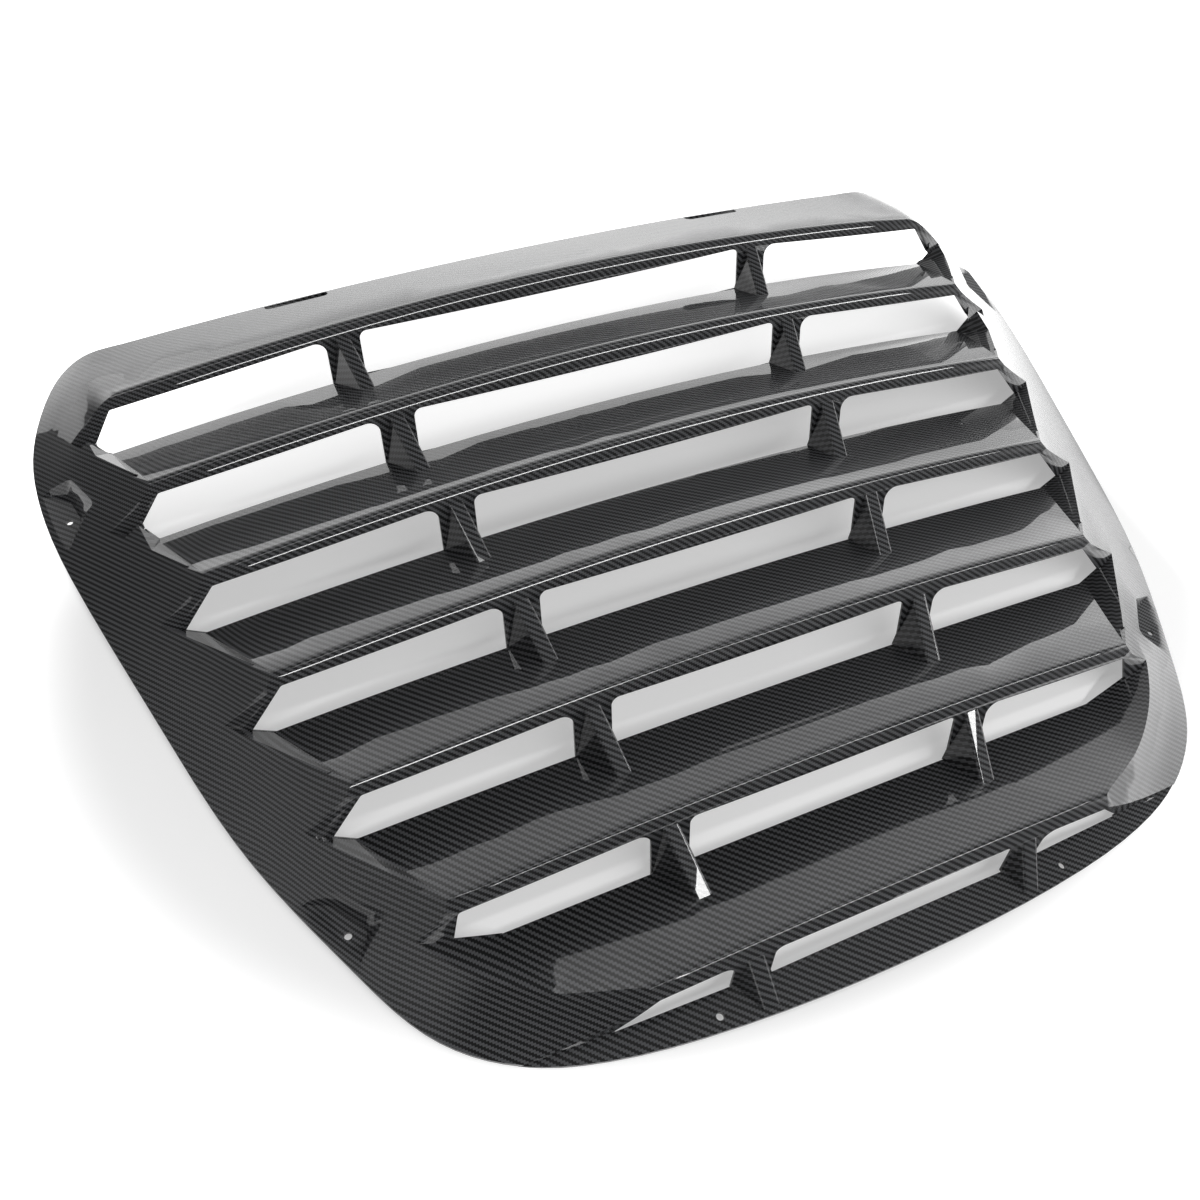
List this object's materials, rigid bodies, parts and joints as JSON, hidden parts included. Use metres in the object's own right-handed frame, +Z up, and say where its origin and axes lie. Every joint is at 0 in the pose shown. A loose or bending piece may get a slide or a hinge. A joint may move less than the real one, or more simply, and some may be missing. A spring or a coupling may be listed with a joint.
{
  "type": "rear window louver",
  "caption": "One-piece moulded rear window louver for a coupe: crowned slats over openings, sloped side skirts, rib wedges and recessed screw points, in glossy carbon-look plastic.",
  "frame": {"origin": "middle of the panel's footprint, on the plane its side rims rest on", "axes": "+Z up, away from the glass; +Y towards the roof end (the plain header); +X towards the right-hand end of the slats"},
  "size_m": [1.15, 0.9083, 0.1166],
  "materials": {
    "lacquered_twill": "black moulded ABS with a carbon twill print under gloss clear lacquer"
  },
  "bodies": {
    "root": {"louver_panel": "lacquered_twill"}
  },
  "joints": []
}
